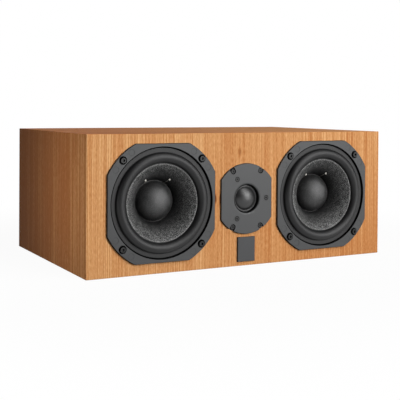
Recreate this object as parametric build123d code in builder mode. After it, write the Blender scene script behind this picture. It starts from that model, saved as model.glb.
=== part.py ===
from build123d import *
import os
from math import atan, cos, degrees, radians, sin, sqrt

# A sealed two-way centre loudspeaker: two bass units either side of a treble unit, in a veneered cabinet.
# Sizes are in millimetres. X runs along the cabinet to the right, Y runs from front to back and Z is up.
# The origin is the middle of the underside.

# Cabinet
cabinet_width = 510
cabinet_height = 200
cabinet_depth = 320
wall = 18
baffle_thickness = 25
rear_thickness = 18
rear_recess = 3
edge_round = 0.8
drive_lift = 1

# Braces, damping pads and wadding inside the cabinet
brace_spacing = 116
brace_thickness = 14
brace_rim = 28
pad_thickness = 4
pad_margin = 14
wadding_depth = 110
wadding_margin = 10

# Frames of the bass units
driver_spacing = 280
seat_diameter = 160
frame_rim = 5
frame_thickness = 6
frame_proud = 3.5
frame_edge = 0.5
rebate_clearance = 0.3
gasket_thickness = 1
gasket_margin = 3
seat_clearance = 0.2
seat_ledge = 11.5
basket_clearance = 1
basket_wall = 3
skirt_length = 9.5
leg_count = 6
leg_width = 13
spider_ring_diameter = 114
spider_ring_wall = 8
basket_floor_hole = 64

# Screws of the bass units, sunk in spot faces round the seat, with shallow marks beside them
screw_diameter = 5
screw_head_diameter = 8.6
screw_head_height = 5
screw_length = 20
screw_clearance = 0.25
spot_face_diameter = 12
spot_face_depth = 2.6
spot_face_gap = 2
spot_face_edge = 1
hex_socket = 4
hex_socket_depth = 2.5
mark_diameter = 9
mark_depth = 0.25
mark_turn = 11
screw_turn = 45

# Surround, cone, dome and suspension of the bass units
surround_step = 2.7
surround_sheet = 1.2
surround_gap = 1.5
surround_flange = 5.7
roll_radius = 7.8
cone_gap = 0.9
cone_lip = 1.8
cone_sheet = 0.9
cone_depth = 49
flare_radius = 31
flare_depth = 15
dome_diameter = 60
dome_height = 24
dome_sheet = 0.8
former_reach = 3
glue_line = 0.15
spider_setback = 6
spider_room = 8
spider_sheet = 0.6
spider_waves = 3
spider_wave_height = 1.4
spider_flat = 3

# Motors of the bass units
coil_diameter = 50
former_sheet = 0.3
winding_thickness = 0.8
winding_length = 12
coil_gap = 0.5
front_plate_diameter = 110
front_plate_thickness = 8
magnet_diameter = 120
magnet_hole = 64
magnet_thickness = 20
yoke_thickness = 10
pole_vent = 12

# Leads of the bass units
eyelet_circle = 74
eyelet_angle = 58.5
eyelet_diameter = 3
eyelet_stand = 1
eyelet_length = 4
lead_diameter = 1.2
lead_bend = 2.4
lead_rise = 8
board_width = 20
board_length = 17
board_thickness = 1.6
board_flat_height = 56
tag_diameter = 3
tag_height = 4
tag_spacing = 11

# Treble unit
plate_diameter = 106
plate_width = 88
plate_thickness = 5.5
plate_proud = 3
plate_edge = 0.5
mouth_diameter = 48
throat_diameter = 39
tweeter_gasket = 0.8
tweeter_gasket_margin = 2
tweeter_dome_diameter = 36
tweeter_dome_height = 8
tweeter_roll = 1.6
tweeter_sheet = 0.5
tweeter_flange = 2.4
tweeter_body_diameter = 76
tweeter_body_clearance = 1
tweeter_front_plate = 4
tweeter_magnet_diameter = 72
tweeter_magnet_hole = 42
tweeter_magnet_thickness = 12
tweeter_yoke = 6
tweeter_vent = 6
tweeter_gap = 0.4
tweeter_former = 0.3
tweeter_winding = 0.4
tweeter_winding_length = 3
notch_circle = 96
notch_angle = 60
notch_width = 8.6
notch_depth = 3
plate_screw_diameter = 4
plate_screw_head = 7.4
plate_screw_head_height = 2.4
plate_screw_length = 16
plate_screw_hex = 2.5
plate_screw_hex_depth = 1.2
assembly_circle = 68
assembly_diameter = 3
assembly_head = 8
assembly_length = 8
assembly_hex = 2.5
assembly_hex_depth = 1.2

# Bare plate below the treble unit
badge_width = 30
badge_thickness = 2.6
badge_margin = 6.5
badge_gap = 4.5
badge_edge = 0.5

# Terminals at the back
terminal_width = 110
terminal_height = 70
terminal_thickness = 3
terminal_corner = 6
terminal_opening_width = 78
terminal_opening_height = 38
terminal_screw_margin = 7
terminal_screw_diameter = 3.5
terminal_screw_head = 6.5
terminal_screw_head_height = 1.8
terminal_screw_edge = 0.6
terminal_screw_length = 14
post_spacing = 32
post_collar_diameter = 16
post_collar = 4
post_diameter = 8
post_length = 26
post_clearance = 0.2
socket_diameter = 4
socket_depth = 17
wire_hole = 3.2
wire_hole_height = 6.5
shank_diameter = 7
shank_length = 14
nut_width = 12
nut_thickness = 4
cap_diameter = 17
cap_length = 19
cap_flutes = 12
cap_flute_diameter = 3
cap_flute_depth = 0.7
cap_edge = 0.8

# Crossover on the floor of the cabinet
crossover_width = 92
crossover_length = 150
crossover_thickness = 1.6
crossover_back = 40
standoff_height = 8
standoff_diameter = 7
standoff_margin = 6
bass_inductor_diameter = 46
bass_inductor_hole = 20
bass_inductor_height = 22
treble_inductor_diameter = 32
treble_inductor_hole = 12
treble_inductor_height = 16
capacitor_diameter = 20
capacitor_length = 42
capacitor_count = 3
capacitor_pitch = 24
resistor_length = 34
resistor_size = 9
resistor_pitch = 16

# Places worked out from the sizes, with depths measured behind the baffle's face
front_y = -cabinet_depth / 2
drive_height = cabinet_height / 2 + drive_lift
rear_y = cabinet_depth / 2 - rear_recess
room_width = cabinet_width - 2 * wall
room_height = cabinet_height - 2 * wall
room_depth = cabinet_depth - rear_recess - rear_thickness - baffle_thickness
room_middle_y = front_y + baffle_thickness + room_depth / 2
room_middle_z = cabinet_height / 2

frame_width = seat_diameter + 2 * frame_rim
screw_circle = seat_diameter + spot_face_diameter + 2 * spot_face_gap
screw_pitch = screw_circle / sqrt(2)
frame_corner_diameter = screw_circle + spot_face_diameter + 2 * spot_face_edge
roll_diameter = seat_diameter - 2 * (surround_gap + surround_flange + roll_radius)
cone_diameter = roll_diameter - 2 * (roll_radius + cone_gap)
frame_front = -frame_proud
frame_back = frame_thickness - frame_proud
rebate_depth = frame_back + gasket_thickness
surround_front = frame_front + surround_step
seat_floor = surround_front + surround_sheet
basket_throat = seat_diameter / 2 - seat_ledge
basket_diameter = 2 * (basket_throat + basket_wall)
cutout_radius = basket_diameter / 2 + basket_clearance
skirt_end = frame_back + skirt_length
cone_front = surround_front - cone_sheet
neck_depth = cone_front + cone_depth
former_radius = coil_diameter / 2 + former_sheet
neck_radius = former_radius + glue_line
spider_seat = neck_depth + spider_setback
basket_back = spider_seat + spider_room
magnet_front = basket_back + front_plate_thickness
yoke_front = magnet_front + magnet_thickness
winding_middle = basket_back + front_plate_thickness / 2
winding_front = winding_middle - winding_length / 2
winding_back = winding_middle + winding_length / 2
winding_radius = former_radius + winding_thickness
lip_radius = cone_diameter / 2 - cone_lip
screw_seat = frame_front + spot_face_depth
board_front = basket_back - board_length

plate_front = -plate_proud
plate_back = plate_thickness - plate_proud
plate_rebate = plate_back + tweeter_gasket
tweeter_coil = tweeter_dome_diameter / 2
tweeter_front_plate_back = plate_back + tweeter_front_plate
tweeter_magnet_back = tweeter_front_plate_back + tweeter_magnet_thickness
tweeter_cutout = tweeter_body_diameter / 2 + tweeter_body_clearance
notch_seat = plate_front + notch_depth
badge_top = drive_height - plate_diameter / 2 - badge_gap
badge_height = badge_top - badge_margin

post_height = cabinet_height / 2
board_floor = wall + standoff_height
board_top = board_floor + crossover_thickness


def section_plane(x):
    """Plane through a drive unit's axis: local x is the radius, local y the depth behind the front."""
    return Plane(origin=(x, front_y, drive_height), x_dir=(1, 0, 0), z_dir=(0, 0, 1))


def facing_plane(x, depth, height=drive_height):
    """Plane that faces forwards, at a depth behind the baffle's face."""
    return Plane(origin=(x, front_y + depth, height), x_dir=(1, 0, 0), z_dir=(0, -1, 0))


def rear_plane(x, stand, height):
    """Plane that faces backwards, at a stand-off from the rear panel's outer face."""
    return Plane(origin=(x, rear_y + stand, height), x_dir=(-1, 0, 0), z_dir=(0, 1, 0))


def drive_axis(x):
    """Axis of the drive unit at x, pointing into the cabinet."""
    return Axis((x, front_y, drive_height), (0, 1, 0))


def save(piece, name):
    """Label a finished piece and write it to its own file."""
    piece.part.label = name
    export_step(piece.part, f"parts/{name}.step")


def flare(share):
    """Radius and depth of the cone's front face, from the lip (0) along its curve to the neck (1)."""
    start, middle, end = (1 - share) ** 2, 2 * share * (1 - share), share**2
    radius = start * lip_radius + middle * flare_radius + end * neck_radius
    depth = start * cone_front + middle * (cone_front + flare_depth) + end * neck_depth
    return radius, depth


def flare_share(radius):
    """How far along the cone's curve a radius lies, the inverse of flare()."""
    bend = lip_radius - 2 * flare_radius + neck_radius
    slope = lip_radius - flare_radius
    return (slope - sqrt(slope**2 - bend * (lip_radius - radius))) / bend


def frame_outline(margin):
    """Outline of a bass unit's frame, a circle cut by a square, grown by a margin."""
    side = frame_width + 2 * margin
    Circle(frame_corner_diameter / 2 + margin)
    Rectangle(side, side, mode=Mode.INTERSECT)


def plate_outline(margin):
    """Outline of the treble unit's plate, a circle with two flats, grown by a margin."""
    Circle(plate_diameter / 2 + margin)
    Rectangle(plate_width + 2 * margin, plate_diameter + 2 * margin, mode=Mode.INTERSECT)


def ring(x, depth, outer_diameter, hole_diameter, thickness):
    """Flat ring on a drive unit's axis."""
    with BuildPart() as flat_ring:
        with BuildSketch(facing_plane(x, depth)):
            Circle(outer_diameter / 2)
            Circle(hole_diameter / 2, mode=Mode.SUBTRACT)
        extrude(amount=-thickness)
    return flat_ring


def make_yoke(x, plate_front_depth, thickness, diameter, pole_radius, pole_front, vent):
    """Back plate of a motor with its centre pole, and a vent through both."""
    with BuildPart() as yoke:
        with BuildSketch(facing_plane(x, plate_front_depth)):
            Circle(diameter / 2)
        extrude(amount=-thickness)
        with BuildSketch(facing_plane(x, plate_front_depth)):
            Circle(pole_radius)
        extrude(amount=plate_front_depth - pole_front)
        with Locations(facing_plane(x, pole_front)):
            Hole(radius=vent / 2)
    return yoke


# Cabinet panels: the front and the four walls meet in mitres, and the rear panel sits inside the walls
def make_envelope():
    """The cabinet's outer block with slightly rounded edges."""
    with BuildPart() as envelope:
        with BuildSketch():
            Rectangle(cabinet_width, cabinet_depth)
        extrude(amount=cabinet_height)
        fillet(envelope.edges(), edge_round)
    return envelope.part


def make_front_blank():
    """The front panel before its openings, narrowing inwards to its mitres."""
    with BuildPart() as blank:
        with BuildSketch(facing_plane(0, 0, cabinet_height / 2)):
            Rectangle(cabinet_width, cabinet_height)
        extrude(amount=-baffle_thickness, taper=degrees(atan(wall / baffle_thickness)))
    return blank.part


def make_wall(corners):
    """One mitred wall, from the outline of its end."""
    with BuildPart() as panel:
        with BuildSketch(facing_plane(0, cabinet_depth, 0)):
            with BuildLine():
                Polyline(corners, close=True)
            make_face()
        extrude(amount=cabinet_depth)
        add(front_blank, mode=Mode.SUBTRACT)
        add(envelope, mode=Mode.INTERSECT)
    return panel


def make_front_baffle():
    """Front panel with a rebate, an opening and screw holes for each drive unit."""
    with BuildPart() as front_baffle:
        add(front_blank)
        add(envelope, mode=Mode.INTERSECT)
        for x in driver_places.values():
            with BuildSketch(facing_plane(x, 0)):
                frame_outline(rebate_clearance)
            extrude(amount=-rebate_depth, mode=Mode.SUBTRACT)
            with Locations(facing_plane(x, 0)):
                Hole(radius=cutout_radius)
                with GridLocations(screw_pitch, screw_pitch, 2, 2):
                    Hole(radius=screw_diameter / 2, depth=screw_seat + screw_length)
        with BuildSketch(facing_plane(0, 0)):
            plate_outline(rebate_clearance)
        extrude(amount=-plate_rebate, mode=Mode.SUBTRACT)
        with Locations(facing_plane(0, 0)):
            Hole(radius=tweeter_cutout)
            with Locations(*notch_places):
                Hole(radius=plate_screw_diameter / 2, depth=notch_seat + plate_screw_length)
    return front_baffle


def make_rear_panel():
    """Rear panel with an opening behind the terminals and holes for their screws."""
    with BuildPart() as rear_panel:
        with BuildSketch(rear_plane(0, 0, room_middle_z)):
            Rectangle(room_width, room_height)
        extrude(amount=-rear_thickness)
        with BuildSketch(rear_plane(0, 0, post_height)):
            RectangleRounded(terminal_opening_width, terminal_opening_height, terminal_corner)
        extrude(amount=-rear_thickness, mode=Mode.SUBTRACT)
        with Locations(rear_plane(0, 0, post_height)):
            with terminal_screw_places():
                Hole(radius=terminal_screw_diameter / 2, depth=terminal_screw_length - terminal_thickness)
    return rear_panel


def make_brace(x):
    """Upright brace between front, back, floor and roof, with a large opening for the shared air."""
    with BuildPart() as brace:
        with BuildSketch(Plane.YZ.offset(x - brace_thickness / 2)):
            with Locations((room_middle_y, room_middle_z)):
                Rectangle(room_depth, room_height)
                RectangleRounded(
                    room_depth - 2 * brace_rim, room_height - 2 * brace_rim, brace_rim, mode=Mode.SUBTRACT
                )
        extrude(amount=brace_thickness)
    return brace


def make_damping_pads():
    """Heavy pads glued to the inner faces of the roof and of the two sides."""
    bay_width = (cabinet_width - brace_spacing - brace_thickness) / 2 - wall
    bay_middle = (brace_spacing + brace_thickness) / 2 + bay_width / 2
    with BuildPart() as pads:
        with BuildSketch(Plane.XY.offset(cabinet_height - wall)):
            with Locations((-bay_middle, room_middle_y), (bay_middle, room_middle_y)):
                Rectangle(bay_width - 2 * pad_margin, room_depth - 2 * pad_margin)
        extrude(amount=-pad_thickness)
        for side in (-1, 1):
            with BuildSketch(Plane.YZ.offset(side * room_width / 2)):
                with Locations((room_middle_y, room_middle_z)):
                    Rectangle(room_depth - 2 * pad_margin, room_height - 2 * pad_margin)
            extrude(amount=-side * pad_thickness)
    return pads


def make_wadding(side):
    """Block of acoustic wadding on the floor of one bay, against the rear panel."""
    inner = (brace_spacing + brace_thickness) / 2 + wadding_margin
    outer = room_width / 2 - pad_thickness - wadding_margin
    height = room_height - pad_thickness - wadding_margin
    with BuildPart() as wadding:
        with BuildSketch(Plane.XY.offset(wall)):
            with Locations((side * (inner + outer) / 2, rear_y - rear_thickness)):
                Rectangle(outer - inner, wadding_depth, align=(Align.CENTER, Align.MAX))
        extrude(amount=height)
        fillet(wadding.edges().filter_by(Axis.Z), wadding_margin)
    return wadding


# Bass units
def make_frame(x):
    """Cast frame: a flange with a stepped seat, and a basket of legs down to the motor."""
    floor_front = basket_back - basket_wall
    ring_radius = spider_ring_diameter / 2
    window_back = spider_seat - basket_wall
    with BuildPart() as frame:
        with BuildSketch(facing_plane(x, frame_back)):
            frame_outline(0)
        extrude(amount=frame_thickness)
        chamfer(frame.faces().sort_by(Axis.Y)[0].edges(), frame_edge)
        with BuildSketch(facing_plane(x, frame_front)):
            Circle(seat_diameter / 2)
        extrude(amount=-(surround_step + surround_sheet), mode=Mode.SUBTRACT)
        with Locations(facing_plane(x, frame_front)):
            Hole(radius=basket_throat, depth=frame_thickness)
            with GridLocations(screw_pitch, screw_pitch, 2, 2):
                CounterBoreHole(
                    radius=screw_diameter / 2 + screw_clearance,
                    counter_bore_radius=spot_face_diameter / 2,
                    counter_bore_depth=spot_face_depth,
                    depth=frame_thickness,
                )
            for turn in (screw_turn - mark_turn, screw_turn + mark_turn):
                with PolarLocations(screw_circle / 2, 4, start_angle=turn):
                    Hole(radius=mark_diameter / 2, depth=mark_depth)
        with BuildSketch(section_plane(x)):
            with BuildLine():
                Polyline(
                    (basket_throat + basket_wall, seat_floor),
                    (basket_throat + basket_wall, skirt_end),
                    (ring_radius, spider_seat),
                    (ring_radius, basket_back),
                    (basket_floor_hole / 2, basket_back),
                    (basket_floor_hole / 2, floor_front),
                    (ring_radius - spider_ring_wall, floor_front),
                    (ring_radius - spider_ring_wall, spider_seat),
                    (ring_radius - basket_wall, spider_seat),
                    (basket_throat, skirt_end),
                    (basket_throat, seat_floor),
                    close=True,
                )
            make_face()
        revolve(axis=drive_axis(x))
        with BuildSketch(facing_plane(x, window_back)):
            Circle(basket_diameter / 2 + basket_clearance)
            with PolarLocations(0, leg_count):
                Rectangle(basket_diameter, leg_width, align=(Align.MIN, Align.CENTER), mode=Mode.SUBTRACT)
        extrude(amount=window_back - skirt_end - basket_wall, mode=Mode.SUBTRACT)
        with BuildSketch(facing_plane(x, basket_back)):
            with Locations((0, board_flat_height)):
                Rectangle(spider_ring_diameter / 2, spider_ring_wall, align=(Align.CENTER, Align.MIN))
        extrude(amount=board_length, mode=Mode.SUBTRACT)
    return frame


def make_gasket(x):
    """Foam gasket between the frame and the floor of its rebate."""
    with BuildPart() as gasket:
        with BuildSketch(facing_plane(x, rebate_depth)):
            frame_outline(-gasket_margin)
            Circle(cutout_radius, mode=Mode.SUBTRACT)
            with GridLocations(screw_pitch, screw_pitch, 2, 2):
                Circle(screw_diameter / 2 + screw_clearance, mode=Mode.SUBTRACT)
        extrude(amount=gasket_thickness)
    return gasket


def make_surround(x):
    """Rubber half-roll with a flat flange either side of it."""
    roll_middle = roll_diameter / 2
    with BuildPart() as surround:
        with BuildSketch(section_plane(x)):
            with Locations((roll_middle, surround_front)):
                Circle(roll_radius)
                Circle(roll_radius - surround_sheet, mode=Mode.SUBTRACT)
                Rectangle(
                    2 * roll_radius, roll_radius, align=(Align.CENTER, Align.MIN), mode=Mode.SUBTRACT
                )
            outer_foot = roll_middle + roll_radius - surround_sheet
            inner_foot = roll_middle - roll_radius + surround_sheet
            with Locations((outer_foot, surround_front)):
                outer_flange = surround_flange + surround_sheet
                Rectangle(outer_flange, surround_sheet, align=(Align.MIN, Align.MIN))
            with Locations((inner_foot, surround_front)):
                inner_flange = inner_foot - lip_radius - cone_sheet
                Rectangle(inner_flange, surround_sheet, align=(Align.MAX, Align.MIN))
        revolve(axis=drive_axis(x))
    return surround


def make_cone(x):
    """Curved cone with a flat lip, and two small holes for the lead eyelets."""
    flare_end = cone_front + flare_depth
    with BuildPart() as cone:
        with BuildSketch(section_plane(x)):
            with BuildLine():
                Line((cone_diameter / 2, surround_front), (cone_diameter / 2, cone_front))
                Line((cone_diameter / 2, cone_front), (lip_radius, cone_front))
                Bezier((lip_radius, cone_front), (flare_radius, flare_end), (neck_radius, neck_depth))
                Line((neck_radius, neck_depth), (neck_radius + cone_sheet, neck_depth))
                Bezier(
                    (neck_radius + cone_sheet, neck_depth),
                    (flare_radius + cone_sheet, flare_end + cone_sheet),
                    (lip_radius, surround_front),
                )
                Line((lip_radius, surround_front), (cone_diameter / 2, surround_front))
            make_face()
        revolve(axis=drive_axis(x))
        with Locations(facing_plane(x, cone_front)):
            with Locations(*eyelet_places):
                Hole(radius=eyelet_diameter / 2 + glue_line)
    return cone


def make_dust_dome(x):
    """Domed cap glued into the cone."""
    rim_radius = dome_diameter / 2
    rim_depth = flare(flare_share(rim_radius + glue_line))[1]
    ball_radius = (rim_radius**2 + dome_height**2) / (2 * dome_height)
    apex_depth = rim_depth - dome_height
    with BuildPart() as dust_dome:
        with BuildSketch(section_plane(x)):
            with Locations((0, apex_depth + ball_radius)):
                Circle(ball_radius)
                Circle(ball_radius - dome_sheet, mode=Mode.SUBTRACT)
            with Locations((0, apex_depth)):
                Rectangle(rim_radius, dome_height, align=(Align.MIN, Align.MIN), mode=Mode.INTERSECT)
        revolve(axis=drive_axis(x))
    return dust_dome


def make_voice_coil(x):
    """Thin former from inside the cone's neck to the gap, with the winding round its far end."""
    inner = coil_diameter / 2
    former_front = neck_depth - former_reach
    with BuildPart() as voice_coil:
        with BuildSketch(section_plane(x)):
            with BuildLine():
                Polyline(
                    (inner, former_front),
                    (former_radius, former_front),
                    (former_radius, winding_front),
                    (winding_radius, winding_front),
                    (winding_radius, winding_back),
                    (inner, winding_back),
                    close=True,
                )
            make_face()
        revolve(axis=drive_axis(x))
    return voice_coil


def make_spider(x):
    """Corrugated cloth ring between the former and its seat in the frame."""
    inner = former_radius + glue_line
    seat_inner = spider_ring_diameter / 2 - spider_ring_wall
    outer = spider_ring_diameter / 2 - basket_wall - seat_clearance
    first = inner + spider_flat
    half_wave = (seat_inner - spider_flat - first) / (2 * spider_waves)
    face = spider_seat - spider_sheet
    crests = [(first, face)]
    for step in range(2 * spider_waves):
        lift = spider_wave_height if step % 2 else -spider_wave_height
        crests.append((first + (step + 0.5) * half_wave, face + lift))
    crests.append((first + 2 * spider_waves * half_wave, face))
    front = [(inner, face), *crests, (outer, face)]
    back = [(radius, depth + spider_sheet) for radius, depth in reversed(front)]
    with BuildPart() as spider:
        with BuildSketch(section_plane(x)):
            with BuildLine():
                Polyline(front + back, close=True)
            make_face()
        revolve(axis=drive_axis(x))
    return spider


def make_leads(x):
    """Two eyelets on the cone, each with a flexible lead to the terminal board."""
    depth = flare(flare_share(eyelet_circle / 2))[1]
    eyelet_front = depth - eyelet_stand
    lead_start = eyelet_front + eyelet_length - lead_diameter
    tag_y = front_y + board_front + tag_diameter
    board_z = drive_height + board_flat_height
    with BuildPart() as leads:
        for side, (across, up) in zip((-1, 1), eyelet_places):
            tag_x = x + side * tag_spacing / 2
            with BuildSketch(facing_plane(x, eyelet_front)):
                with Locations((across, up)):
                    Circle(eyelet_diameter / 2)
            extrude(amount=-eyelet_length)
            with BuildLine() as route:
                FilletPolyline(
                    (x + across, front_y + lead_start, drive_height + up),
                    (x + across, front_y + board_front, drive_height + up),
                    (tag_x, tag_y, board_z - lead_rise),
                    (tag_x, tag_y, board_z),
                    radius=lead_bend,
                )
            with BuildSketch(facing_plane(x, lead_start)):
                with Locations((across, up)):
                    Circle(lead_diameter / 2)
            sweep(path=route.wire())
    return leads


def make_terminal_board(x):
    """Small board on a flat of the frame's ring, with two solder tags."""
    with BuildPart() as board:
        with BuildSketch(facing_plane(x, basket_back)):
            with Locations((0, board_flat_height)):
                Rectangle(board_width, board_thickness, align=(Align.CENTER, Align.MIN))
        extrude(amount=board_length)
        tag_seat = drive_height + board_flat_height + board_thickness
        with BuildSketch(Plane((x, front_y + board_front + tag_diameter, tag_seat))):
            with GridLocations(tag_spacing, 0, 2, 1):
                Circle(tag_diameter / 2)
        extrude(amount=tag_height)
    return board


def make_frame_screws(x):
    """Four socket cap screws, seated in the frame's spot faces."""
    with BuildPart() as screws:
        with BuildSketch(facing_plane(x, screw_seat)):
            with GridLocations(screw_pitch, screw_pitch, 2, 2):
                Circle(screw_head_diameter / 2)
        extrude(amount=screw_head_height)
        with BuildSketch(facing_plane(x, screw_seat - screw_head_height)):
            with GridLocations(screw_pitch, screw_pitch, 2, 2):
                RegularPolygon(hex_socket / 2, 6, major_radius=False)
        extrude(amount=-hex_socket_depth, mode=Mode.SUBTRACT)
        with BuildSketch(facing_plane(x, screw_seat)):
            with GridLocations(screw_pitch, screw_pitch, 2, 2):
                Circle(screw_diameter / 2)
        extrude(amount=-screw_length)
    return screws


# Treble unit
def make_tweeter_plate():
    """Face plate with a flared mouth, four edge notches and three countersunk holes."""
    mouth = mouth_diameter / 2
    throat = throat_diameter / 2
    clamp_radius = throat + tweeter_flange
    with BuildPart() as plate:
        with BuildSketch(facing_plane(0, plate_back)):
            plate_outline(0)
        extrude(amount=plate_thickness)
        chamfer(plate.faces().sort_by(Axis.Y)[0].edges(), plate_edge)
        with BuildSketch(section_plane(0)):
            with BuildLine():
                Polyline((0, plate_back), (0, plate_front), (mouth, plate_front))
                EllipticalCenterArc(
                    (mouth, plate_back), mouth - throat, plate_thickness, start_angle=180, arc_size=90
                )
                Line((throat, plate_back), (0, plate_back))
            make_face()
        revolve(axis=drive_axis(0), mode=Mode.SUBTRACT)
        with Locations(facing_plane(0, plate_back - tweeter_sheet)):
            Hole(radius=clamp_radius, depth=tweeter_sheet)
        with BuildSketch(facing_plane(0, plate_front)):
            for place, turn in zip(notch_places, notch_turns):
                with Locations(Location(place, turn)):
                    Circle(notch_width / 2)
                    Rectangle(plate_diameter, notch_width, align=(Align.MIN, Align.CENTER))
        extrude(amount=-notch_depth, mode=Mode.SUBTRACT)
        with Locations(facing_plane(0, plate_front)):
            with Locations(*notch_places):
                Hole(radius=plate_screw_diameter / 2 + screw_clearance)
            with PolarLocations(assembly_circle / 2, 3):
                CounterSinkHole(
                    radius=assembly_diameter / 2 + screw_clearance,
                    counter_sink_radius=assembly_head / 2 + screw_clearance,
                )
    return plate


def make_tweeter_gasket():
    """Foam gasket behind the face plate."""
    with BuildPart() as gasket:
        with BuildSketch(facing_plane(0, plate_rebate)):
            plate_outline(-tweeter_gasket_margin)
            Circle(tweeter_cutout, mode=Mode.SUBTRACT)
            with Locations(*notch_places):
                Circle(plate_screw_diameter / 2 + screw_clearance, mode=Mode.SUBTRACT)
        extrude(amount=tweeter_gasket)
    return gasket


def make_tweeter_dome():
    """Soft dome with its roll and clamped flange, moulded as one piece."""
    dome_radius = tweeter_dome_diameter / 2
    ball_radius = (dome_radius**2 + tweeter_dome_height**2) / (2 * tweeter_dome_height)
    apex = plate_back - tweeter_dome_height
    roll_start = dome_radius - tweeter_sheet
    roll_end = roll_start + tweeter_roll
    flange_radius = throat_diameter / 2 + tweeter_flange - seat_clearance
    with BuildPart() as dome:
        with BuildSketch(section_plane(0)):
            with Locations((0, apex + ball_radius)):
                Circle(ball_radius)
                Circle(ball_radius - tweeter_sheet, mode=Mode.SUBTRACT)
            with Locations((0, apex)):
                Rectangle(dome_radius, tweeter_dome_height, align=(Align.MIN, Align.MIN), mode=Mode.INTERSECT)
            with BuildSketch(mode=Mode.PRIVATE) as roll:
                with Locations(((roll_start + roll_end) / 2, plate_back)):
                    Circle(tweeter_roll / 2)
                    Circle(tweeter_roll / 2 - tweeter_sheet, mode=Mode.SUBTRACT)
                    Rectangle(tweeter_roll, tweeter_roll, align=(Align.CENTER, Align.MIN), mode=Mode.SUBTRACT)
            add(roll.sketch)
            with Locations((roll_end - tweeter_sheet, plate_back)):
                Rectangle(
                    flange_radius - roll_end + tweeter_sheet, tweeter_sheet, align=(Align.MIN, Align.MAX)
                )
        revolve(axis=drive_axis(0))
    return dome


def make_tweeter_coil():
    """Former and winding hung from the edge of the dome."""
    outer = tweeter_coil
    inner = outer - tweeter_former
    former_back = plate_back + tweeter_front_plate + tweeter_winding_length / 2
    winding_start = plate_back + (tweeter_front_plate - tweeter_winding_length) / 2
    with BuildPart() as coil:
        with BuildSketch(section_plane(0)):
            with BuildLine():
                Polyline(
                    (inner, plate_back),
                    (outer, plate_back),
                    (outer, winding_start),
                    (outer + tweeter_winding, winding_start),
                    (outer + tweeter_winding, winding_start + tweeter_winding_length),
                    (outer, winding_start + tweeter_winding_length),
                    (outer, former_back),
                    (inner, former_back),
                    close=True,
                )
            make_face()
        revolve(axis=drive_axis(0))
    return coil


def make_tweeter_front_plate():
    """Steel ring round the gap, tapped for the assembly screws."""
    gap_radius = tweeter_coil + tweeter_winding + tweeter_gap
    with BuildPart() as front_plate:
        with BuildSketch(facing_plane(0, plate_back)):
            Circle(tweeter_body_diameter / 2)
            Circle(gap_radius, mode=Mode.SUBTRACT)
            with PolarLocations(assembly_circle / 2, 3):
                Circle(assembly_diameter / 2, mode=Mode.SUBTRACT)
        extrude(amount=-tweeter_front_plate)
    return front_plate


def make_plate_screws():
    """Four pan-head screws in the notches of the face plate."""
    with BuildPart() as screws:
        with BuildSketch(facing_plane(0, notch_seat)):
            with Locations(*notch_places):
                Circle(plate_screw_head / 2)
        extrude(amount=plate_screw_head_height)
        with BuildSketch(facing_plane(0, notch_seat - plate_screw_head_height)):
            with Locations(*notch_places):
                RegularPolygon(plate_screw_hex / 2, 6, major_radius=False)
        extrude(amount=-plate_screw_hex_depth, mode=Mode.SUBTRACT)
        with BuildSketch(facing_plane(0, notch_seat)):
            with Locations(*notch_places):
                Circle(plate_screw_diameter / 2)
        extrude(amount=-plate_screw_length)
    return screws


def make_assembly_screws():
    """Three countersunk screws that hold the face plate to the motor."""
    head_depth = (assembly_head - assembly_diameter) / 2
    with BuildPart() as screws:
        with BuildSketch(facing_plane(0, plate_front)):
            with PolarLocations(assembly_circle / 2, 3):
                Circle(assembly_diameter / 2)
        extrude(amount=-assembly_length)
        for place in PolarLocations(assembly_circle / 2, 3):
            head_x = place.position.X
            head_z = drive_height + place.position.Y
            with BuildSketch(Plane((head_x, front_y, head_z), x_dir=(1, 0, 0), z_dir=(0, 0, 1))):
                with BuildLine():
                    Polyline(
                        (0, plate_front),
                        (assembly_head / 2, plate_front),
                        (assembly_diameter / 2, plate_front + head_depth),
                        (0, plate_front + head_depth),
                        close=True,
                    )
                make_face()
            revolve(axis=Axis((head_x, front_y, head_z), (0, 1, 0)))
        with BuildSketch(facing_plane(0, plate_front)):
            with PolarLocations(assembly_circle / 2, 3):
                RegularPolygon(assembly_hex / 2, 6, major_radius=False)
        extrude(amount=-assembly_hex_depth, mode=Mode.SUBTRACT)
    return screws


def make_badge_plate():
    """Plain plate on the front, below the treble unit."""
    with BuildPart() as badge:
        with BuildSketch(facing_plane(0, 0, badge_margin + badge_height / 2)):
            Rectangle(badge_width, badge_height)
        extrude(amount=badge_thickness)
        chamfer(badge.faces().sort_by(Axis.Y)[0].edges(), badge_edge)
    return badge


# Terminals
def terminal_screw_places():
    """The four corners of the terminal panel, inside its edge."""
    return GridLocations(
        terminal_width - 2 * terminal_screw_margin, terminal_height - 2 * terminal_screw_margin, 2, 2
    )


def make_terminal_panel():
    """Flat panel over the opening in the back, with holes for two posts and four screws."""
    with BuildPart() as panel:
        with BuildSketch(rear_plane(0, 0, post_height)):
            RectangleRounded(terminal_width, terminal_height, terminal_corner)
            with GridLocations(post_spacing, 0, 2, 1):
                Circle(shank_diameter / 2 + post_clearance, mode=Mode.SUBTRACT)
            with terminal_screw_places():
                Circle(terminal_screw_diameter / 2 + screw_clearance, mode=Mode.SUBTRACT)
        extrude(amount=terminal_thickness)
    return panel


def make_terminal_screws():
    """Four pan-head screws of the terminal panel."""
    with BuildPart() as screws:
        with BuildSketch(rear_plane(0, terminal_thickness, post_height)):
            with terminal_screw_places():
                Circle(terminal_screw_head / 2)
        extrude(amount=terminal_screw_head_height)
        chamfer(screws.faces().group_by(Axis.Y)[-1].edges(), terminal_screw_edge)
        with BuildSketch(rear_plane(0, terminal_thickness, post_height)):
            with terminal_screw_places():
                Circle(terminal_screw_diameter / 2)
        extrude(amount=-terminal_screw_length)
    return screws


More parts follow.
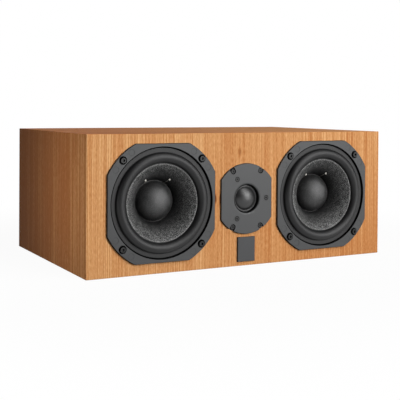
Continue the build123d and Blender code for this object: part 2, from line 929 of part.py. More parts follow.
def make_binding_posts():
    """Two metal posts, each with a collar, a socket for a plug, a wire hole and a shank through the panel."""
    with BuildPart() as posts:
        with BuildSketch(rear_plane(0, terminal_thickness, post_height)):
            with GridLocations(post_spacing, 0, 2, 1):
                Circle(post_collar_diameter / 2)
        extrude(amount=post_collar)
        with BuildSketch(rear_plane(0, terminal_thickness, post_height)):
            with GridLocations(post_spacing, 0, 2, 1):
                Circle(post_diameter / 2)
        extrude(amount=post_length)
        with BuildSketch(rear_plane(0, terminal_thickness, post_height)):
            with GridLocations(post_spacing, 0, 2, 1):
                Circle(shank_diameter / 2)
        extrude(amount=-(terminal_thickness + shank_length))
        with Locations(rear_plane(0, terminal_thickness + post_length, post_height)):
            with GridLocations(post_spacing, 0, 2, 1):
                Hole(radius=socket_diameter / 2, depth=socket_depth)
        with BuildSketch(Plane.XY.offset(post_height)):
            with Locations((0, rear_y + terminal_thickness + wire_hole_height)):
                with GridLocations(post_spacing, 0, 2, 1):
                    Circle(wire_hole / 2)
        extrude(amount=post_diameter, both=True, mode=Mode.SUBTRACT)
    return posts


def make_post_nuts():
    """Two hexagon nuts behind the terminal panel."""
    with BuildPart() as nuts:
        with BuildSketch(rear_plane(0, 0, post_height)):
            with GridLocations(post_spacing, 0, 2, 1):
                RegularPolygon(nut_width / 2, 6, major_radius=False)
                Circle(shank_diameter / 2 + glue_line, mode=Mode.SUBTRACT)
        extrude(amount=-nut_thickness)
    return nuts


def make_post_cap(x):
    """Fluted screw cap on a binding post."""
    flute_circle = cap_diameter / 2 - cap_flute_depth + cap_flute_diameter / 2
    with BuildPart() as cap:
        with BuildSketch(rear_plane(x, terminal_thickness + post_collar + post_clearance, post_height)):
            Circle(cap_diameter / 2)
        extrude(amount=cap_length)
        chamfer(cap.faces().sort_by(Axis.Y)[-1].edges(), cap_edge)
        with BuildSketch(rear_plane(x, terminal_thickness + post_collar + post_clearance, post_height)):
            Circle(post_diameter / 2 + post_clearance)
            with PolarLocations(flute_circle, cap_flutes):
                Circle(cap_flute_diameter / 2)
        extrude(amount=cap_length, mode=Mode.SUBTRACT)
    return cap


# Crossover
def standoff_places():
    """The corners of the crossover board, inside its edge."""
    return GridLocations(
        crossover_width - 2 * standoff_margin, crossover_length - 2 * standoff_margin, 2, 2
    )


def floor_plane(height):
    """Horizontal plane at a height, centred on the crossover board."""
    return Plane((0, crossover_back, height))


def make_crossover_board():
    """Circuit board on its stand-offs."""
    with BuildPart() as board:
        with BuildSketch(floor_plane(board_floor)):
            Rectangle(crossover_width, crossover_length)
        extrude(amount=crossover_thickness)
    return board


def make_standoffs():
    """Four round stand-offs under the corners of the board."""
    with BuildPart() as standoffs:
        with BuildSketch(floor_plane(wall)):
            with standoff_places():
                Circle(standoff_diameter / 2)
        extrude(amount=standoff_height)
    return standoffs


def make_inductor(x, y, diameter, hole, height):
    """Flat coil of wire on the board."""
    with BuildPart() as inductor:
        with BuildSketch(floor_plane(board_top)):
            with Locations((x, y)):
                Circle(diameter / 2)
                Circle(hole / 2, mode=Mode.SUBTRACT)
        extrude(amount=height)
    return inductor


def make_capacitors():
    """Film capacitors that lie side by side on the board."""
    centre = Plane(
        (0, crossover_back - capacitor_length / 2, board_top + capacitor_diameter / 2),
        x_dir=(1, 0, 0),
        z_dir=(0, 1, 0),
    )
    with BuildPart() as capacitors:
        with BuildSketch(centre):
            with GridLocations(capacitor_pitch, 0, capacitor_count, 1):
                Circle(capacitor_diameter / 2)
        extrude(amount=capacitor_length)
    return capacitors


def make_resistors(x, y):
    """Two cement resistors on the board."""
    with BuildPart() as resistors:
        with BuildSketch(floor_plane(board_top)):
            with Locations((x, y)):
                with GridLocations(0, resistor_pitch, 1, 2):
                    Rectangle(resistor_length, resistor_size)
        extrude(amount=resistor_size)
    return resistors


driver_places = {"left": -driver_spacing / 2, "right": driver_spacing / 2}
notch_turns = [notch_angle, 180 - notch_angle, 180 + notch_angle, 360 - notch_angle]
notch_places = [
    (notch_circle / 2 * cos(radians(turn)), notch_circle / 2 * sin(radians(turn))) for turn in notch_turns
]
eyelet_across = eyelet_circle / 2 * cos(radians(eyelet_angle))
eyelet_up = eyelet_circle / 2 * sin(radians(eyelet_angle))
eyelet_places = [(-eyelet_across, eyelet_up), (eyelet_across, eyelet_up)]

half_width = cabinet_width / 2
wall_corners = {
    "top_panel": [(-half_width, cabinet_height), (half_width, cabinet_height)],
    "bottom_panel": [(-half_width, 0), (half_width, 0)],
    "left_side_panel": [(-half_width, 0), (-half_width, cabinet_height)],
    "right_side_panel": [(half_width, 0), (half_width, cabinet_height)],
}

os.makedirs("parts", exist_ok=True)

envelope = make_envelope()
front_blank = make_front_blank()
save(make_front_baffle(), "front_baffle")
for name, outer in wall_corners.items():
    inner = [
        (across - wall if across > 0 else across + wall, up - wall if up else wall)
        for across, up in reversed(outer)
    ]
    save(make_wall(outer + inner), name)
save(make_rear_panel(), "rear_panel")
save(make_damping_pads(), "damping_pads")
for side, sign in {"left": -1, "right": 1}.items():
    save(make_brace(sign * brace_spacing / 2), f"{side}_brace")
    save(make_wadding(sign), f"{side}_wadding")

for side, x in driver_places.items():
    gap_hole = 2 * (winding_radius + coil_gap)
    pole_radius = coil_diameter / 2 - coil_gap
    save(make_frame(x), f"{side}_frame")
    save(make_gasket(x), f"{side}_gasket")
    save(make_surround(x), f"{side}_surround")
    save(make_cone(x), f"{side}_cone")
    save(make_dust_dome(x), f"{side}_dust_dome")
    save(make_voice_coil(x), f"{side}_voice_coil")
    save(make_spider(x), f"{side}_spider")
    save(make_leads(x), f"{side}_leads")
    save(make_terminal_board(x), f"{side}_terminal_board")
    save(ring(x, basket_back, front_plate_diameter, gap_hole, front_plate_thickness), f"{side}_front_plate")
    save(ring(x, magnet_front, magnet_diameter, magnet_hole, magnet_thickness), f"{side}_magnet")
    yoke = make_yoke(x, yoke_front, yoke_thickness, front_plate_diameter, pole_radius, basket_back, pole_vent)
    save(yoke, f"{side}_yoke")
    save(make_frame_screws(x), f"{side}_frame_screws")

save(make_tweeter_plate(), "tweeter_plate")
save(make_tweeter_gasket(), "tweeter_gasket")
save(make_tweeter_dome(), "tweeter_dome")
save(make_tweeter_coil(), "tweeter_voice_coil")
save(make_tweeter_front_plate(), "tweeter_front_plate")
tweeter_magnet = ring(
    0, tweeter_front_plate_back, tweeter_magnet_diameter, tweeter_magnet_hole, tweeter_magnet_thickness
)
save(tweeter_magnet, "tweeter_magnet")
tweeter_pole = tweeter_coil - tweeter_former - tweeter_gap
tweeter_yoke_piece = make_yoke(
    0, tweeter_magnet_back, tweeter_yoke, tweeter_magnet_diameter, tweeter_pole, plate_back, tweeter_vent
)
save(tweeter_yoke_piece, "tweeter_yoke")
save(make_plate_screws(), "tweeter_mounting_screws")
save(make_assembly_screws(), "tweeter_assembly_screws")
save(make_badge_plate(), "badge_plate")

save(make_terminal_panel(), "terminal_panel")
save(make_terminal_screws(), "terminal_screws")
save(make_binding_posts(), "binding_posts")
save(make_post_nuts(), "post_nuts")
save(make_post_cap(-post_spacing / 2), "positive_post_cap")
save(make_post_cap(post_spacing / 2), "negative_post_cap")

save(make_crossover_board(), "crossover_board")
save(make_standoffs(), "board_standoffs")
bass_inductor_y = (crossover_length - bass_inductor_diameter) / 2 - standoff_margin
treble_inductor_y = -(crossover_length - treble_inductor_diameter) / 2 + standoff_margin
treble_inductor_x = (treble_inductor_diameter - crossover_width) / 2 + standoff_margin
resistor_x = (crossover_width - resistor_length) / 2 - standoff_margin
bass_inductor = make_inductor(
    0, bass_inductor_y, bass_inductor_diameter, bass_inductor_hole, bass_inductor_height
)
save(bass_inductor, "bass_inductor")
treble_inductor = make_inductor(
    treble_inductor_x,
    treble_inductor_y,
    treble_inductor_diameter,
    treble_inductor_hole,
    treble_inductor_height,
)
save(treble_inductor, "treble_inductor")
save(make_capacitors(), "crossover_capacitors")
save(make_resistors(resistor_x, treble_inductor_y), "crossover_resistors")
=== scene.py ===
import bmesh
import bpy
import math
from mathutils import Matrix, Vector, noise
from mathutils.bvhtree import BVHTree


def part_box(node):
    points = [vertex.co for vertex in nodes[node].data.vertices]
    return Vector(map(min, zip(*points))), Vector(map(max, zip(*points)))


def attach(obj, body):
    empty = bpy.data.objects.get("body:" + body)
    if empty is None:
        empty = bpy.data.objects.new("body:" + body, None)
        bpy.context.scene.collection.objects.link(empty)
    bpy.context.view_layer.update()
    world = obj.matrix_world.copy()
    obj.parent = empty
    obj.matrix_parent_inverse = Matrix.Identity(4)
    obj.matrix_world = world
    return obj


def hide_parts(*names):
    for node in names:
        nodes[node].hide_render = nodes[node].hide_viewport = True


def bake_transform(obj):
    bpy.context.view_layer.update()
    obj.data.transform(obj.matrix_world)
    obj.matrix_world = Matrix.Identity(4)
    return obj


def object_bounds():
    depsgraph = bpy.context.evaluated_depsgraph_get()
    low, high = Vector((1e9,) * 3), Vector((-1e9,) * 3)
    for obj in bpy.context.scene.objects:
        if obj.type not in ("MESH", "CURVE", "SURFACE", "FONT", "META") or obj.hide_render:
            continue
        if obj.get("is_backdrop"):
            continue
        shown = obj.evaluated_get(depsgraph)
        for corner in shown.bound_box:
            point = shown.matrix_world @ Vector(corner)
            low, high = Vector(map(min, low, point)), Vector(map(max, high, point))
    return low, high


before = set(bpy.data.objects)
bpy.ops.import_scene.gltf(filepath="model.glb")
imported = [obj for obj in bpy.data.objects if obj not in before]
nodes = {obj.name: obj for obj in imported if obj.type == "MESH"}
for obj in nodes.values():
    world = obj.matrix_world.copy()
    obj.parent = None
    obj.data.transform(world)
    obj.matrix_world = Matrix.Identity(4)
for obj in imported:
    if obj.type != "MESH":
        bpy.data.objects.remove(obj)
cad_low, cad_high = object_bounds()


# Cabinet panels
# Six fibreboard panels faced with a pale red-brown veneer under a satin lacquer. The front and the four
# walls are mitred and glued, with the grain upright on the front and sides and lengthwise on the top.
class Value:
    """One socket of a finish's nodes. Arithmetic adds Math nodes, and node() adds any other node."""

    def __init__(self, tree, socket):
        self.tree = tree
        self.socket = socket

    def feed(self, socket, value):
        """Link a Value to a socket, or set the socket to a plain number or colour."""
        if isinstance(value, Value):
            self.tree.links.new(value.socket, socket)
        else:
            socket.default_value = value

    def node(self, kind, settings=None, inputs=None, output=0):
        """Add a node, apply its settings, feed its inputs and return one of its outputs."""
        made = self.tree.nodes.new(kind)
        for name, setting in (settings or {}).items():
            if name == "stops":
                ramp = made.color_ramp.elements
                while len(ramp) < len(setting):
                    ramp.new(1.0)
                for stop, (position, tint) in zip(ramp, setting):
                    stop.position = position
                    stop.color = tint
            else:
                setattr(made, name, setting)
        for key, value in (inputs or {}).items():
            self.feed(made.inputs[key], value)
        return Value(self.tree, made.outputs[output])

    def math(self, operation, *values):
        return self.node("ShaderNodeMath", {"operation": operation}, dict(enumerate(values)))

    def __add__(self, other):
        return self.math("ADD", self, other)

    def __sub__(self, other):
        return self.math("SUBTRACT", self, other)

    def __rsub__(self, other):
        return self.math("SUBTRACT", other, self)

    def __mul__(self, other):
        return self.math("MULTIPLY", self, other)

    def __truediv__(self, other):
        return self.math("DIVIDE", self, other)

    __radd__ = __add__
    __rmul__ = __mul__

    def part(self, axis):
        """The X, Y or Z part of a vector."""
        return self.node("ShaderNodeSeparateXYZ", None, {0: self}, axis)

    def rise(self, low, high):
        """0 below low and 1 above high, with a smooth step between them."""
        return self.node(
            "ShaderNodeMapRange", {"interpolation_type": "SMOOTHSTEP"}, {0: self, 1: low, 2: high}
        )

    def noise(self, size, detail=2.0):
        """Noise on this vector, with features about as large as size, in metres."""
        return self.node("ShaderNodeTexNoise", None, {"Vector": self, "Scale": 1 / size, "Detail": detail})

    def tint(self, first, second):
        """Colour that goes from first to second as this value goes from 0 to 1."""
        return self.node("ShaderNodeMix", {"data_type": "RGBA"}, {0: self, 6: first, 7: second}, 2)

    def bump(self, height, strength):
        """Surface direction for this value as a relief of that height, in metres."""
        return self.node("ShaderNodeBump", None, {"Height": self, "Distance": height, "Strength": strength})


def paint(red, green, blue):
    """A colour as it looks on a screen, from 0 to 255, in the linear form that shaders take."""
    linear = [((part / 255 + 0.055) / 1.055) ** 2.4 for part in (red, green, blue)]
    return (*linear, 1.0)


def new_finish(name, **constants):
    """A new material with its shader, the constants of that shader, and the place on the object."""
    material = bpy.data.materials.new(name)
    material.use_nodes = True
    shader = material.node_tree.nodes["Principled BSDF"]
    for key, value in constants.items():
        shader.inputs[key.replace("_", " ")].default_value = value
    source = material.node_tree.nodes.new("ShaderNodeTexCoord")
    return material, shader, Value(material.node_tree, source.outputs["Object"])


def dress(material, *names):
    """Give a finish to pieces that keep their own shape."""
    for name in names:
        nodes[name].data.materials.clear()
        nodes[name].data.materials.append(material)


wood_shades = [
    (0.37, (192, 124, 71)),
    (0.455, (207, 146, 92)),
    (0.545, (217, 160, 106)),
    (0.63, (229, 180, 126)),
]
pore_brown = paint(140, 84, 45)
pore_share = 0.22
knot_brown = paint(112, 60, 28)
wander_reach = 0.006
streak_share = 0.25
ring_share = 0.34
band_share = 0.17
fleck_share = 0.24
crown_half = 0.04
crown_end = 0.13
lacquer_roughness = 0.50
pore_depth = 0.00006


def veneer(name, across, along, leaf, warmth, contrast=1.0, breadth=1.0, depth=0.0, knots_and_shade=(), crown=None):
    """Straight-grained veneer, with the sizes of its figure across and along the grain in metres. Warmth
    reddens it, contrast and breadth strengthen and widen its lines, and depth deepens its tone. A knot, or a
    broad patch of painted shade, is its place and half size across and along, and how far it spreads the
    lines, deepens the tone and darkens its core. Away from the crown the growth rings are narrow."""
    stops = []
    for spot, (red, green, blue) in wood_shades:
        stops.append((spot, paint(red, green * (1 - warmth * 0.5), blue * (1 - warmth))))
    material, shader, place = new_finish(name, Specular_IOR_Level=0.03)
    width = place.part(across)
    length = place.part(along)

    def figure(across_size, along_size, detail):
        """Noise drawn out along the grain, on one leaf of veneer."""
        across_line = line / (across_size * breadth)
        along_line = length / along_size
        drawn = place.node("ShaderNodeCombineXYZ", None, {0: across_line, 1: along_line, 2: leaf})
        return drawn.noise(1.0, detail)

    line = width
    wander = figure(0.06, 0.25, 1.0)
    line = width + (wander - 0.5) * wander_reach
    shade = None
    for knot_across, knot_along, half_width, half_length, spread, deepen, darkness in knots_and_shade:
        aside = width - knot_across
        off = aside / half_width
        up = (length - knot_along) / half_length
        near = place.math("EXPONENT", (off * off + up * up) * -1.0)
        line = line - aside * near * spread
        depth = near * deepen + depth
        core = near.rise(0.35, 0.95) * darkness
        shade = core if shade is None else place.math("MAXIMUM", shade, core)
    streaks = figure(0.0016, 0.16, 3.0)
    rings = figure(0.0031, 0.45, 2.0)
    if crown is not None:
        outside = place.math("ABSOLUTE", width - crown).rise(crown_half, crown_end)
        narrow = figure(0.0017, 0.5, 0.0)
        rings = rings + (narrow - rings) * outside
    bands = figure(0.022, 0.7, 2.0)
    flecks = figure(0.0016 / breadth, 0.006, 2.0)
    lines = streaks * streak_share + rings * ring_share + bands * band_share + flecks * fleck_share
    tone = (lines - 0.5) * contrast + 0.5 - depth
    wood = tone.node("ShaderNodeValToRGB", {"stops": stops}, {0: tone})
    pores = figure(0.0004 / breadth, 0.007, 1.0).rise(0.60, 0.72)
    wood = (pores * pore_share).tint(wood, pore_brown)
    if shade is not None:
        wood = shade.tint(wood, knot_brown)
    place.feed(shader.inputs["Base Color"], wood)
    place.feed(shader.inputs["Roughness"], streaks * 0.10 + pores * 0.12 + lacquer_roughness)
    place.feed(shader.inputs["Normal"], (streaks * 0.4 - pores).bump(pore_depth, 0.5))
    return material


swirl = (-0.011, 0.1715, 0.0035, 0.007, 0.9, 0.08, 0.35)
flame = (-0.018, 0.185, 0.013, 0.060, 0.5, 0.05, 0.0)
eye = (-0.0525, 0.103, 0.0024, 0.010, 0.8, 0.05, 1.0)
# A dark brown band with a dark core along the left edge of the treble plate.
plate_edge_dark_band = (-0.0452, 0.101, 0.0016, 0.013, 0.8, 0.05, 0.85)
# Broad patches of painted shade, with no lines or core: the front darkens towards its lower right, the left
# side towards its rear and the top towards its left end.
shade_lower_right = (0.255, 0.0, 0.25, 0.15, 0.0, 0.10, 0.0)
shade_toward_rear = (0.16, 0.1, 0.24, 1.0, 0.0, 0.15, 0.0)
shade_left_end = (0.0, -0.255, 1.0, 0.22, 0.0, 0.17, 0.0)
front_knots_and_shade = [flame, swirl, eye, plate_edge_dark_band, shade_lower_right]
side_lines = {"contrast": 1.7, "breadth": 1.3}
long_lines = {"contrast": 1.4, "breadth": 1.5}
# Painted light in the tones of the leaves: the left side is redder than the front as painted shade, and the
# top is redder and paler, as painted light that makes up for its weaker lighting.
dress(veneer("front_veneer", "X", "Z", 3.1, 0.0, contrast=1.3, knots_and_shade=front_knots_and_shade, crown=0.0), "front_baffle")
dress(veneer("left_side_veneer", "Y", "Z", 7.7, 0.11, knots_and_shade=[shade_toward_rear], **side_lines), "left_side_panel")
dress(veneer("right_side_veneer", "Y", "Z", 12.4, 0.2, **side_lines), "right_side_panel")
dress(veneer("top_veneer", "Y", "X", 21.3, 0.2, depth=-0.09, knots_and_shade=[shade_left_end], **long_lines), "top_panel")
dress(veneer("bottom_veneer", "Y", "X", 27.9, 0.2, depth=-0.05, **long_lines), "bottom_panel")
dress(veneer("rear_veneer", "X", "Z", 35.2, 0.08, contrast=1.35), "rear_panel")


# Braces and damping pads
# Two window-shaped fibreboard braces tie the front, back, floor and roof together, and sheets of heavy
# bitumen felt are glued to the roof and the sides to deaden them.
def mottled(name, shade, spread, size, roughness, relief, **constants):
    """A plain finish whose tone, gloss and surface vary a little, with marks about as large as size."""
    material, shader, place = new_finish(name, **constants)
    marks = place.noise(size, 3.0)
    deep = [part * (1 - spread) for part in shade[:3]] + [1.0]
    pale = [part * (1 + spread) for part in shade[:3]] + [1.0]
    place.feed(shader.inputs["Base Color"], marks.rise(0.3, 0.7).tint(deep, pale))
    place.feed(shader.inputs["Roughness"], (marks - 0.5) * 0.2 + roughness)
    place.feed(shader.inputs["Normal"], marks.bump(relief, 0.6))
    return material


dress(mottled("raw_fibreboard", paint(166, 128, 88), 0.16, 0.0009, 0.8, 0.0001), "left_brace", "right_brace")
dress(mottled("bitumen_felt", paint(44, 43, 41), 0.3, 0.0015, 0.75, 0.0003), "damping_pads")


# Acoustic wadding
# Two loose blocks of white polyester fibre on the floor of the outer bays, against the rear panel. They
# only rest there, so their faces bulge and dimple.
wadding_finish = mottled("polyester_fibre", paint(226, 226, 221), 0.08, 0.0025, 0.95, 0.0012)
wadding_cuts = 24
wadding_dimple = 0.005
wadding_squareness = 10
dimples_per_metre = 28
for side in ("left", "right"):
    low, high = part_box(f"{side}_wadding")
    middle = (low + high) / 2
    reach = (high - low) / 2
    shape = bmesh.new()
    bmesh.ops.create_cube(shape, size=2.0)
    bmesh.ops.subdivide_edges(shape, edges=shape.edges[:], cuts=wadding_cuts, use_grid_fill=True)
    for point in shape.verts:
        on_floor = point.co.z < -0.999
        roundness = 0.5 * sum(abs(part) ** wadding_squareness for part in point.co) - 0.5
        spot = Vector(part * size for part, size in zip(point.co, reach))
        dimple = 0.5 + 0.5 * noise.noise((spot + middle) * dimples_per_metre)
        inward = spot.normalized() * (wadding_dimple * (dimple + roundness))
        inward.z = 0.0 if on_floor else inward.z
        point.co = middle + spot - inward
    mesh = bpy.data.meshes.new(f"{side}_wadding_block")
    shape.to_mesh(mesh)
    shape.free()
    mesh.materials.append(wadding_finish)
    mesh.shade_smooth()
    block = bpy.data.objects.new(f"{side}_wadding_block", mesh)
    bpy.context.scene.collection.objects.link(block)
    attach(block, "cabinet")
    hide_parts(f"{side}_wadding")


# Frames of the bass units
# Cast alloy frames, painted satin grey, let into the front with a foam gasket behind each flange. The flange
# has four sunk screw places, a shallow round mark to either side of each, and a gap round its seat. Painted
# shade darkens the screw recesses, the seat gap and a thin line round each mark.
unit_offset = (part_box("right_frame")[0].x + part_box("right_frame")[1].x) / 2
unit_height = (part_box("right_frame")[0].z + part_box("right_frame")[1].z) / 2
screw_reach = 0.0622
recess_radius = 0.006
recess_blur = 0.0003
line_blur = 0.0002
mark_turn = math.radians(34)
mark_reach = screw_reach * math.sqrt(2)
mark_radius = 0.0045
mark_line = 0.0004
mark_rim_shade_share = 0.55
seat_gap_middle = 0.0798
seat_gap_half = 0.0009


def from_unit(place):
    """Distances across and up from the axis of the nearer bass unit, both as positive lengths."""
    across = place.math("ABSOLUTE", place.math("ABSOLUTE", place.part("X")) - unit_offset)
    up = place.math("ABSOLUTE", place.part("Z") - unit_height)
    return across, up


def length_of(across, up):
    return across.math("SQRT", across * across + up * up)


def painted_shade_over(material, share, shade):
    """Cover a finish with a matte dark one where the share is 1, as painted shade."""
    over = material.node_tree.nodes.new("ShaderNodeBsdfPrincipled")
    over.inputs["Base Color"].default_value = shade
    over.inputs["Roughness"].default_value = 0.9
    over.inputs["Specular IOR Level"].default_value = 0.05
    under = material.node_tree.nodes["Principled BSDF"]
    both = share.node(
        "ShaderNodeMixShader",
        None,
        {0: share, 1: Value(share.tree, under.outputs[0]), 2: Value(share.tree, over.outputs[0])},
    )
    share.tree.links.new(both.socket, material.node_tree.nodes["Material Output"].inputs["Surface"])


frame_paint, paint_shader, place = new_finish("frame_paint")
across, up = from_unit(place)
wide = place.math("MAXIMUM", across, up)
narrow = place.math("MINIMUM", across, up)
from_screw = length_of(across - screw_reach, up - screw_reach)
# Painted shade: the sunk recess round each screw is covered near black.
recess_shade = 1.0 - from_screw.rise(recess_radius - recess_blur, recess_radius + line_blur)
from_mark = length_of(wide - mark_reach * math.cos(mark_turn), narrow - mark_reach * math.sin(mark_turn))
# Painted shade: a thin line round the rim of each shallow mark is darkened.
mark = 1.0 - place.math("ABSOLUTE", from_mark - mark_radius).rise(0.0, mark_line)
peel = place.noise(0.0006, 3.0)
coat = peel.rise(0.3, 0.7).tint(paint(42, 43, 44), paint(47, 48, 49))
coat = (mark * mark_rim_shade_share).tint(coat, paint(12, 12, 13))
place.feed(paint_shader.inputs["Base Color"], coat)
place.feed(paint_shader.inputs["Roughness"], (peel - 0.5) * 0.2 + mark * 0.3 + 0.46)
place.feed(paint_shader.inputs["Normal"], peel.bump(0.00003, 0.6))
# Painted shade: the gap round the surround's seat is covered near black too.
from_gap = place.math("ABSOLUTE", length_of(across, up) - seat_gap_middle)
seat_gap_shade = 1.0 - from_gap.rise(seat_gap_half, seat_gap_half + line_blur)
painted_shade_over(frame_paint, place.math("MAXIMUM", recess_shade, seat_gap_shade), paint(7, 7, 7))
gasket_foam = mottled("gasket_foam", paint(40, 40, 41), 0.25, 0.0012, 0.9, 0.0003)
dress(frame_paint, "left_frame", "right_frame")
dress(gasket_foam, "left_gasket", "right_gasket", "tweeter_gasket")


# Cap screws of the bass units
# Socket cap screws of oxidised black steel with knurled heads, four to a frame. They are driven into the
# front through the flange, and each has stopped at an angle of its own.
def add_group_input(tree, name, kind, value):
    """A named input of a node group, with its usual value."""
    socket = tree.interface.new_socket(name, in_out="INPUT", socket_type=kind)
    socket.default_value = value
    return socket.identifier


def screw_tree():
    """Node group that sets a socket-head screw on every point, with its head towards the group's facing."""
    tree = bpy.data.node_groups.new("socket_screws", "GeometryNodeTree")
    tree.interface.new_socket("Geometry", in_out="INPUT", socket_type="NodeSocketGeometry")
    tree.interface.new_socket("Geometry", in_out="OUTPUT", socket_type="NodeSocketGeometry")
    usual = {
        "Head Radius": 0.0043,
        "Head Height": 0.005,
        "Head Edge": 0.0005,
        "Knurl": 0.0,
        "Socket Radius": 0.0023,
        "Socket Depth": 0.0025,
        "Shank Radius": 0.0025,
        "Shank Length": 0.02,
        "Facing": math.pi / 2,
    }
    names = {name: add_group_input(tree, name, "NodeSocketFloat", value) for name, value in usual.items()}
    finish_input = tree.interface.new_socket("Finish", in_out="INPUT", socket_type="NodeSocketMaterial")
    names["Finish"] = finish_input.identifier
    start = tree.nodes.new("NodeGroupInput")
    size = {name: Value(tree, start.outputs[name]) for name in ("Geometry", *names)}
    first = size["Geometry"]
    head_sides = 48
    socket_sides = 6
    shank_sides = 24
    weld = 0.00001

    def stand(height):
        return first.node("ShaderNodeCombineXYZ", None, {"Z": height})

    circle = first.node(
        "GeometryNodeMeshCircle",
        {"fill_type": "NGON"},
        {"Vertices": head_sides, "Radius": size["Head Radius"]},
    )
    index = first.node("GeometryNodeInputIndex")
    every_other = index.math("MODULO", index, 2.0)
    position = first.node("GeometryNodeInputPosition")
    notch = position.node(
        "ShaderNodeVectorMath", {"operation": "SCALE"}, {0: position, "Scale": size["Knurl"] * -1.0}
    )
    knurled = first.node(
        "GeometryNodeSetPosition", None, {"Geometry": circle, "Selection": every_other, "Offset": notch}
    )
    under = first.node("GeometryNodeFlipFaces", None, {"Mesh": knurled})
    wall_height = size["Head Height"] - size["Head Edge"]
    wall = tree.nodes.new("GeometryNodeExtrudeMesh")
    first.feed(wall.inputs["Mesh"], knurled)
    first.feed(wall.inputs["Offset Scale"], wall_height)
    rim = tree.nodes.new("GeometryNodeExtrudeMesh")
    first.feed(rim.inputs["Mesh"], Value(tree, wall.outputs["Mesh"]))
    first.feed(rim.inputs["Selection"], Value(tree, wall.outputs["Top"]))
    first.feed(rim.inputs["Offset Scale"], size["Head Edge"])
    narrowed = first.node(
        "GeometryNodeScaleElements",
        None,
        {
            "Geometry": Value(tree, rim.outputs["Mesh"]),
            "Selection": Value(tree, rim.outputs["Top"]),
            "Scale": (size["Head Radius"] - size["Head Edge"]) / size["Head Radius"],
        },
    )
    shell = first.node("GeometryNodeJoinGeometry", None, {0: under})
    tree.links.new(narrowed.socket, shell.socket.node.inputs[0])
    head = first.node("GeometryNodeMergeByDistance", None, {"Geometry": shell, "Distance": weld})
    socket_tool = first.node(
        "GeometryNodeMeshCylinder",
        None,
        {"Vertices": socket_sides, "Radius": size["Socket Radius"], "Depth": size["Socket Depth"] * 2.0},
    )
    raised_tool = first.node(
        "GeometryNodeTransform", None, {"Geometry": socket_tool, "Translation": stand(size["Head Height"])}
    )
    shank = first.node(
        "GeometryNodeMeshCylinder",
        None,
        {"Vertices": shank_sides, "Radius": size["Shank Radius"], "Depth": size["Shank Length"]},
    )
    sunk_shank = first.node(
        "GeometryNodeTransform", None, {"Geometry": shank, "Translation": stand(size["Shank Length"] * -0.5)}
    )
    cut_head = tree.nodes.new("GeometryNodeMeshBoolean")
    cut_head.operation = "DIFFERENCE"
    first.feed(cut_head.inputs["Mesh 1"], head)
    first.feed(cut_head.inputs["Mesh 2"], raised_tool)
    screw = first.node("GeometryNodeJoinGeometry", None, {0: Value(tree, cut_head.outputs["Mesh"])})
    tree.links.new(sunk_shank.socket, screw.socket.node.inputs[0])
    spin = first.node(
        "FunctionNodeRandomValue", {"data_type": "FLOAT"}, {2: 0.0, 3: math.pi / 3, "Seed": 4}, 1
    )
    turn = first.node("ShaderNodeCombineXYZ", None, {"X": size["Facing"], "Y": spin})
    placed = first.node(
        "GeometryNodeInstanceOnPoints",
        None,
        {"Points": size["Geometry"], "Instance": screw, "Rotation": turn},
    )
    whole = first.node("GeometryNodeRealizeInstances", None, {"Geometry": placed})
    finished = first.node("GeometryNodeSetMaterial", None, {"Geometry": whole, "Material": size["Finish"]})
    end = tree.nodes.new("NodeGroupOutput")
    tree.links.new(finished.socket, end.inputs["Geometry"])
    return tree, names


def set_screws(name, seats, finish, slot, replaced, **sizes):
    """Screws as one piece, seated at the given points, in place of the plain ones."""
    points = bpy.data.meshes.new(name + "_seats")
    points.from_pydata([tuple(seat) for seat in seats], [], [])
    holder = bpy.data.objects.new(name + "_seats", points)
    bpy.context.scene.collection.objects.link(holder)
    modifier = holder.modifiers.new("screws", "NODES")
    modifier.node_group = screws_group
    for key, value in sizes.items():
        modifier[screw_inputs[key.replace("_", " ")]] = value
    modifier[screw_inputs["Finish"]] = finish
    made = holder.evaluated_get(bpy.context.evaluated_depsgraph_get())
    mesh = bpy.data.meshes.new_from_object(made)
    bpy.data.objects.remove(holder)
    piece = bpy.data.objects.new(name, mesh)
    bpy.context.scene.collection.objects.link(piece)
    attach(piece, "cabinet")
    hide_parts(*replaced)


def corner_seats(node, inset, seat_y):
    """Places of four screws at the corners of their group's box, at a depth."""
    low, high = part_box(node)
    return [
        Vector((x, seat_y, z))
        for x in (low.x + inset, high.x - inset)
        for z in (low.z + inset, high.z - inset)
    ]


screws_group, screw_inputs = screw_tree()
black_oxide = mottled("black_oxide", paint(46, 46, 46), 0.2, 0.0007, 0.36, 0.00002, Metallic=0.85)
cap_head_radius = 0.0043
cap_head_height = 0.005
cap_seats = []
for side in ("left", "right"):
    cap_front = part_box(f"{side}_frame_screws")[0].y
    cap_seats += corner_seats(f"{side}_frame_screws", cap_head_radius, cap_front + cap_head_height)
set_screws(
    "frame_cap_screws",
    cap_seats,
    black_oxide,
    "screw",
    ["left_frame_screws", "right_frame_screws"],
    Head_Radius=cap_head_radius,
    Head_Height=cap_head_height,
    Knurl=0.03,
)


